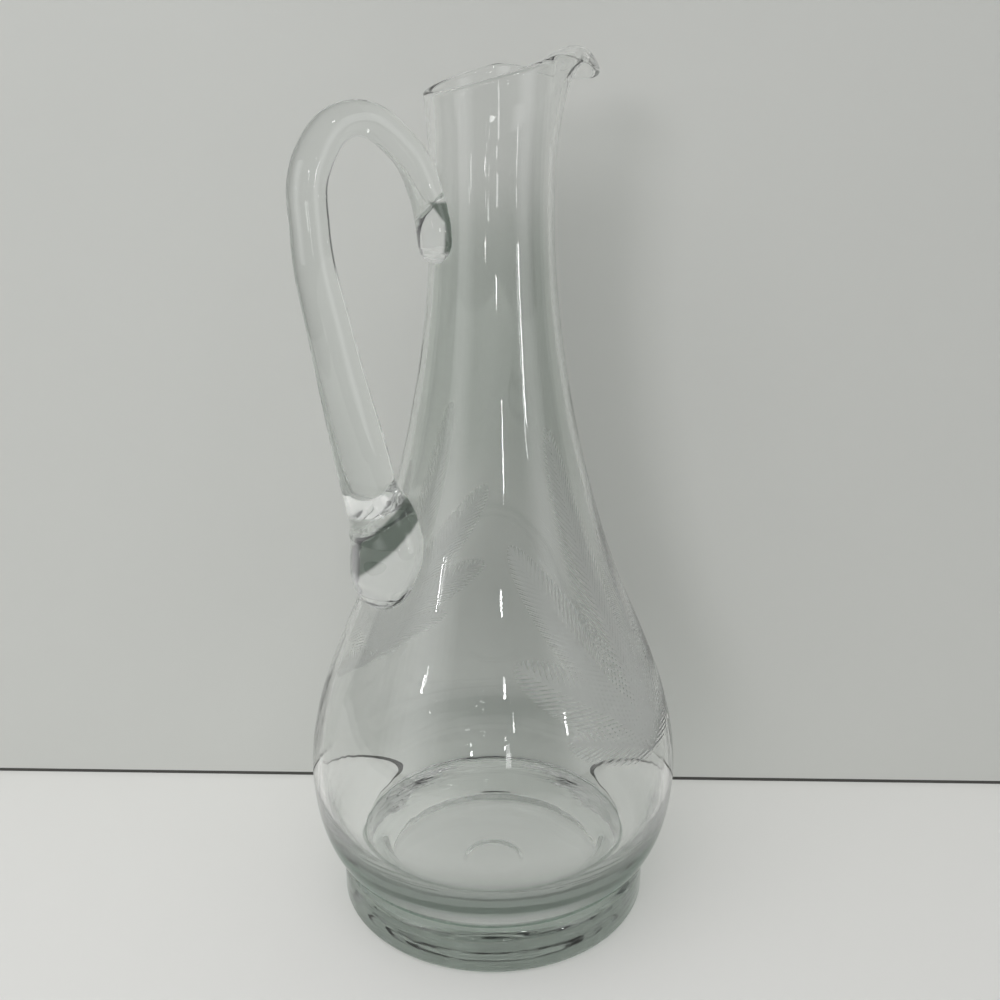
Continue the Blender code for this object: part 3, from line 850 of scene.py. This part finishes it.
def rod_form(knots):
    """A bmesh of the bent rod, swept as a curve of changing radius with closed ends."""
    curve = bpy.data.curves.new("rod_route", 'CURVE')
    curve.dimensions = '3D'
    curve.bevel_depth = 1.0
    curve.bevel_resolution = 18
    curve.use_fill_caps = True
    curve.resolution_u = 24
    curve.render_resolution_u = 24
    spline = curve.splines.new('BEZIER')
    spline.bezier_points.add(len(knots) - 1)
    for knot, (reach, height, radius) in zip(spline.bezier_points, knots):
        knot.co = (-reach, 0.0, height)
        knot.radius = radius
        knot.handle_left_type = 'AUTO'
        knot.handle_right_type = 'AUTO'
    route = placed("rod_route", curve)
    bpy.context.view_layer.update()
    swept = bpy.data.meshes.new_from_object(route.evaluated_get(bpy.context.evaluated_depsgraph_get()))
    bpy.data.objects.remove(route, do_unlink=True)
    form = bmesh.new()
    form.from_mesh(swept)
    bpy.data.meshes.remove(swept)
    bmesh.ops.remove_doubles(form, verts=form.verts, dist=TINY)
    return form


def pressed_width(handle, point):
    """How much wider the rod is where its two ends were pressed on while soft."""
    rise_reach = handle.rise[0]
    fall_height = handle.fall[1]
    if -point.x > rise_reach and point.z > fall_height:
        return 1.0
    width = 1.0
    for spread, (height, reach) in ((handle.pad_spread, PAD_WIDE), (handle.neck_spread, NECK_WIDE)):
        width += spread * eased(max(0.0, 1.0 - abs(point.z - height) / reach))
    return width


def set_on_wall(wall, handle, point):
    """A point of the rod, moved out to the bottle's wall if it lies inside it."""
    radius = hypot(point.x, point.y)
    least = wall_radius(wall, point.z) + handle.wall_gap
    if radius >= least:
        return point
    return Vector((point.x * least / radius, point.y * least / radius, point.z))


class CARAFE_OT_handle(Operator):
    """Make the drawn handle, pressed onto the neck and the shoulder"""
    bl_idname = "carafe.make_handle"
    bl_label = "Make Handle"

    def execute(self, context):
        bottle = context.scene.carafe_bottle
        handle = context.scene.carafe_handle
        glass = context.scene.carafe_glass
        wall = outer_profile(bottle)
        form = rod_form(handle_knots(wall, handle))
        for corner in form.verts:
            corner.co.y *= pressed_width(handle, corner.co)
            corner.co = set_on_wall(wall, handle, corner.co)
        piece = finished("handle_glass", form)
        piece.data.set_sharp_from_angle(angle=radians(35.0))
        piece.data.materials.append(rod_glass(glass))
        settle(piece, "handle")
        return {'FINISHED'}


def matte(name, tint, mottle, front_only):
    """A plain matt surface with a trace of unevenness, which may show from its front only."""
    material, tree = new_material(name)
    place = add_node(tree, 'ShaderNodeTexCoord').outputs["Object"]
    noise = add_node(tree, 'ShaderNodeTexNoise', {"Scale": mottle, "Vector": place})
    ramp = add_node(tree, 'ShaderNodeValToRGB', {0: noise.outputs["Fac"]})
    ramp.color_ramp.elements[0].color = solid([0.97 * part for part in tint])
    ramp.color_ramp.elements[1].color = solid(tint)
    paint = add_node(tree, 'ShaderNodeBsdfPrincipled', {"Roughness": 0.75, "Base Color": ramp.outputs[0]})
    if front_only:
        side = add_node(tree, 'ShaderNodeNewGeometry')
        end_with_clear(tree, side.outputs["Backfacing"], paint, (1.0, 1.0, 1.0, 1.0))
    else:
        add_node(tree, 'ShaderNodeOutputMaterial', {"Surface": paint.outputs[0]})
    return material


def add_area(name, size, place, power):
    """A soft lamp that looks at the middle of the carafe."""
    lamp = bpy.data.lights.new(name, 'AREA')
    lamp.shape = 'RECTANGLE'
    lamp.size, lamp.size_y = size
    lamp.energy = power
    holder = placed(name, lamp)
    holder.location = place
    holder.rotation_euler = (AIM - place).to_track_quat('-Z', 'Y').to_euler()
    return holder


def panel_grid(name, size, matrix, material):
    """A flat panel of the stage."""
    form = bmesh.new()
    bmesh.ops.create_grid(form, x_segments=8, y_segments=8, size=size, matrix=matrix)
    panel = as_object(name, form)
    panel.data.materials.append(material)


def stand_panel(name, material, stage, towards, height, forward, sunk):
    """An upright panel of the backdrop's width that starts a little below the floor."""
    stand = Matrix.Rotation(stage.wall_turn, 4, 'Z') @ Matrix.Rotation(radians(90.0), 4, 'X')
    spread = Matrix.Diagonal((stage.wall_width / height, 1.0, 1.0, 1.0))
    place = Matrix.Translation((0.0, stage.wall_distance - forward, 0.5 * height - sunk))
    panel_grid(name, 0.5 * height, towards @ place @ stand @ spread, material)


def make_room(stage, towards):
    """The floor, the backdrop and a dark strip of painted shadow at the backdrop's foot."""
    floor = matte("pale_table", stage.floor_colour, 6.0, False)
    panel_grid("floor", 0.5 * stage.floor_width, Matrix.Translation((0.0, 0.0, -0.0003)), floor)
    wall = matte("pale_wall", stage.wall_colour, 9.0, True)
    stand_panel("backdrop", wall, stage, towards, stage.wall_height, 0.0, 0.0005)
    # A dark strip of painted shadow along the backdrop's foot
    joint = matte("painted_shadow_strip", stage.shadow_strip_colour, 9.0, True)
    stand_panel("joint", joint, stage, towards, stage.shadow_strip_height, 0.0003, 0.0004)


def set_world(stage):
    """A pale room: bright overhead, greyer low down."""
    world = bpy.data.worlds.new("pale_room")
    bpy.context.scene.world = world
    world.use_nodes = True
    tree = world.node_tree
    tree.nodes.clear()
    place = add_node(tree, 'ShaderNodeTexCoord').outputs["Generated"]
    split = add_node(tree, 'ShaderNodeSeparateXYZ', {0: place})
    ramp = add_node(tree, 'ShaderNodeValToRGB', {0: split.outputs["Z"]})
    for stop, level in zip(ramp.color_ramp.elements, (stage.sky_low, stage.sky_high)):
        stop.color = (level, level, level, 1.0)
    back = add_node(tree, 'ShaderNodeBackground', {"Color": ramp.outputs[0], "Strength": 1.0})
    add_node(tree, 'ShaderNodeOutputWorld', {"Surface": back.outputs[0]})


def small_lamps():
    """The small lamps: turn from the camera and rise in degrees, distance, width and height, power."""
    return (
        ("lamp_front", 8.0, 16.5, 1.50, (0.035, 0.05), 0.18),
        ("lamp_ring", 7.0, 6.6, 1.50, (0.03, 0.03), 0.09),
        ("lamp_strip", 13.0, 10.9, 1.50, (0.02, 0.05), 0.10),
        ("lamp_right", 47.0, 6.6, 1.30, (0.03, 0.10), 0.28),
        ("lamp_left", -13.0, 4.8, 1.40, (0.02, 0.03), 0.06),
        ("lamp_handle", -50.0, 12.0, 1.20, (0.02, 0.05), 0.10),
        ("lamp_high", 26.0, 46.0, 1.20, (0.10, 0.06), 0.50),
        ("lamp_mouth", 9.0, 2.0, 1.00, (0.05, 0.07), 0.06),
    )


def room_walls():
    """Pale walls that only show as soft bands in the glass: turn from the camera, width, power."""
    return (
        ("room_left", -52.0, 0.80, 2.4),
        ("room_right", 58.0, 0.70, 2.1),
    )


def sideways(turn, away, height):
    """A place this far from the axis, turned from the camera's side."""
    return Vector((away * sin(radians(turn)), -away * cos(radians(turn)), height))


def hang_lamps(stage, towards):
    """Two large lamps that only give light, small ones that show too, and walls that only show."""
    ceiling = add_area("ceiling", (1.2, 1.2), towards @ Vector((-0.3, -0.5, 1.3)), stage.key_power)
    window = add_area("window", (0.30, 0.30), towards @ Vector((-0.52, -0.98, 0.60)), stage.window_power)
    for large in (ceiling, window):
        large.visible_glossy = False
        large.visible_transmission = False
    for name, turn, rise, away, size, power in small_lamps():
        place = sideways(turn, away * cos(radians(rise)), AIM.z + away * sin(radians(rise)))
        add_area(name, size, towards @ place, power)
    for name, turn, width, power in room_walls():
        for step in range(WALL_STEPS):
            place = sideways(turn, WALL_AWAY + 0.01 * step, WALL_LEVEL)
            share = 0.4 + 0.3 * step
            size = (width * share, 1.0)
            wall = add_area(name, size, towards @ place, share * power * stage.veil / WALL_STEPS)
            wall.visible_diffuse = False
            wall.visible_transmission = False


def set_camera(stage, towards):
    """The camera at the photograph's place."""
    camera = bpy.data.cameras.new("photo_camera")
    camera.lens = stage.lens
    camera.sensor_width = 36.0
    eye = placed("photo_camera", camera)
    eye.location = towards @ Vector((0.0, -stage.distance, stage.height))
    eye.rotation_euler = (radians(90.0) - stage.pitch, 0.0, -stage.turn - stage.yaw)
    bpy.context.scene.camera = eye


class CARAFE_OT_stage(Operator):
    """Make the floor, the backdrop, the light and the camera"""
    bl_idname = "carafe.make_stage"
    bl_label = "Make Stage"

    def execute(self, context):
        scene = context.scene
        stage = scene.carafe_stage
        towards = Matrix.Rotation(-stage.turn, 4, 'Z')
        make_room(stage, towards)
        hang_lamps(stage, towards)
        set_world(stage)
        set_camera(stage, towards)
        scene.view_settings.view_transform = 'Standard'
        scene.cycles.max_bounces = BOUNCES
        scene.cycles.glossy_bounces = BOUNCES
        scene.cycles.transmission_bounces = BOUNCES
        scene.cycles.transparent_max_bounces = 24
        return {'FINISHED'}


class CARAFE_PT_panel(Panel):
    """The carafe's operators and settings"""
    bl_idname = "CARAFE_PT_panel"
    bl_label = "Carafe"
    bl_space_type = 'VIEW_3D'
    bl_region_type = 'UI'
    bl_category = "Carafe"

    def draw(self, context):
        layout = self.layout
        for operator in OPERATORS:
            layout.operator(operator.bl_idname)
        layout.prop(context.scene.carafe_bottle, "bulb_radius")
        layout.prop(context.scene.carafe_foot, "push_up")
        layout.prop(context.scene.carafe_handle, "grip")
        layout.prop(context.scene.carafe_glass, "clear")
        layout.prop(context.scene.carafe_stage, "floor_colour")


OPERATORS = (CARAFE_OT_bottle, CARAFE_OT_foot, CARAFE_OT_handle, CARAFE_OT_stage)
SETTINGS = {
    "carafe_bottle": BottleSettings,
    "carafe_foot": FootSettings,
    "carafe_handle": HandleSettings,
    "carafe_glass": GlassSettings,
    "carafe_stage": StageSettings,
}


def register():
    """Adds the classes and the settings."""
    for kind in (*SETTINGS.values(), *OPERATORS, CARAFE_PT_panel):
        bpy.utils.register_class(kind)
    for name, kind in SETTINGS.items():
        setattr(bpy.types.Scene, name, PointerProperty(type=kind))


def unregister():
    """Takes the settings and the classes away again."""
    for name in SETTINGS:
        delattr(bpy.types.Scene, name)
    for kind in (CARAFE_PT_panel, *OPERATORS[::-1], *reversed(SETTINGS.values())):
        bpy.utils.unregister_class(kind)


def main():
    """Makes the carafe and its stage."""
    register()
    bpy.ops.carafe.make_bottle()
    bpy.ops.carafe.make_foot()
    bpy.ops.carafe.make_handle()
    bpy.ops.carafe.make_stage()


if __name__ == "__main__":
    main()
